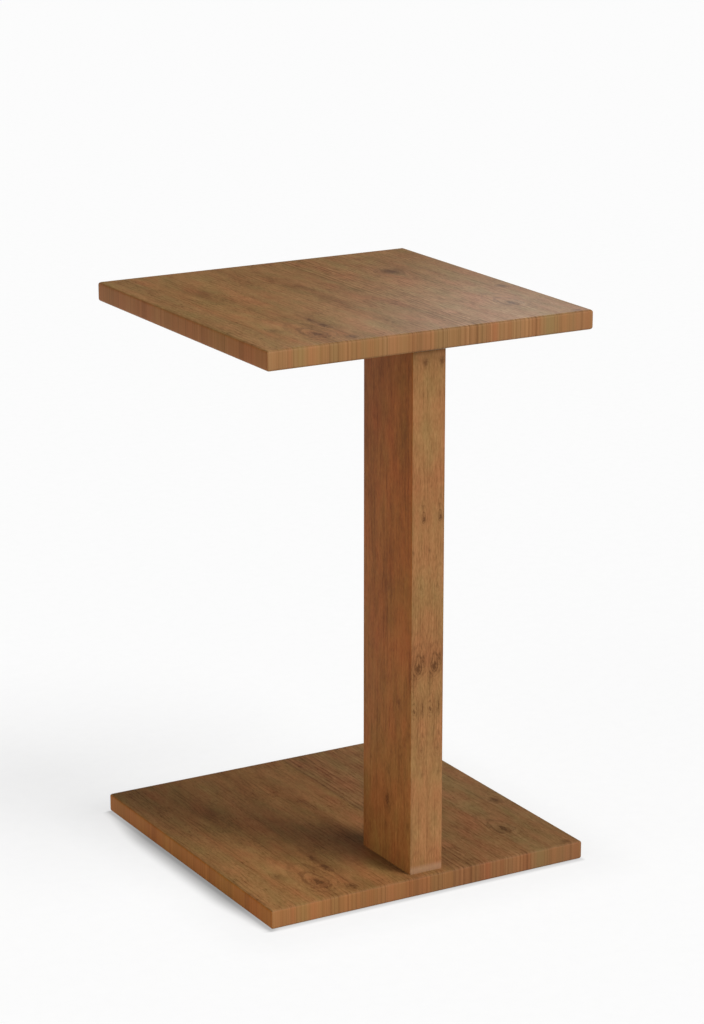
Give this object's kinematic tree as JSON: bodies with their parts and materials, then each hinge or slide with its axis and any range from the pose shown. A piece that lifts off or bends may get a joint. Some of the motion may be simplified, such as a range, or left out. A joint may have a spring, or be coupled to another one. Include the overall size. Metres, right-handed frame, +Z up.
{
  "type": "tilt top table",
  "caption": "C-shaped wooden side table: a square base and a like square top joined by one upright post near an edge; the top tips up on a hidden hinge.",
  "frame": {"origin": "centre of the footprint, at floor level", "axes": "+Z up; -Y towards the edge that the post stands near; the top's hinge axis is along X"},
  "size_m": [0.4, 0.4, 0.638],
  "materials": {
    "slab_wood": "brown stained, satin lacquer, knots and streaks",
    "post_wood": "brown stained, satin lacquer, knots and arches",
    "dowel_wood": "plain beech",
    "zinc_steel": "bright zinc",
    "hinge_steel": "dull bronzed steel",
    "magnet_nickel": "nickel plate",
    "glide_nylon": "dark brown nylon"
  },
  "bodies": {
    "stand": {"base_stave_1": "slab_wood", "base_stave_2": "slab_wood", "base_stave_3": "slab_wood", "base_stave_4": "slab_wood", "base_stave_5": "slab_wood", "base_stave_6": "slab_wood", "post_board_left": "post_wood", "post_board_right": "post_wood", "dowel_1": "dowel_wood", "dowel_2": "dowel_wood", "base_bolt_1": "zinc_steel", "base_bolt_2": "zinc_steel", "bolt_washer_1": "zinc_steel", "bolt_washer_2": "zinc_steel", "barrel_nut_1": "zinc_steel", "barrel_nut_2": "zinc_steel", "glide_screw_1": "zinc_steel", "glide_screw_2": "zinc_steel", "glide_screw_3": "zinc_steel", "glide_screw_4": "zinc_steel", "lower_leaf_screw_1": "zinc_steel", "lower_leaf_screw_2": "zinc_steel", "lower_leaf_screw_3": "zinc_steel", "lower_leaf_screw_4": "zinc_steel", "magnet_screw_1": "zinc_steel", "magnet_screw_2": "zinc_steel", "hinge_lower_leaf": "hinge_steel", "hinge_pin": "hinge_steel", "catch_magnet_1": "magnet_nickel", "catch_magnet_2": "magnet_nickel", "glide_1": "glide_nylon", "glide_2": "glide_nylon", "glide_3": "glide_nylon", "glide_4": "glide_nylon"},
    "tilting_top": {"top_stave_1": "slab_wood", "top_stave_2": "slab_wood", "top_stave_3": "slab_wood", "top_stave_4": "slab_wood", "top_stave_5": "slab_wood", "top_stave_6": "slab_wood", "hinge_upper_leaf": "hinge_steel", "upper_leaf_screw_1": "zinc_steel", "upper_leaf_screw_2": "zinc_steel", "upper_leaf_screw_3": "zinc_steel", "upper_leaf_screw_4": "zinc_steel", "strike_plate": "zinc_steel", "strike_screw_1": "zinc_steel", "strike_screw_2": "zinc_steel"}
  },
  "joints": [
    {"name": "top_tilt", "type": "hinge", "parent": "stand", "child": "tilting_top", "pos_m": [0, -0.189, 0.6158], "axis": [1, 0, 0], "range_deg": [0, 90]}
  ]
}
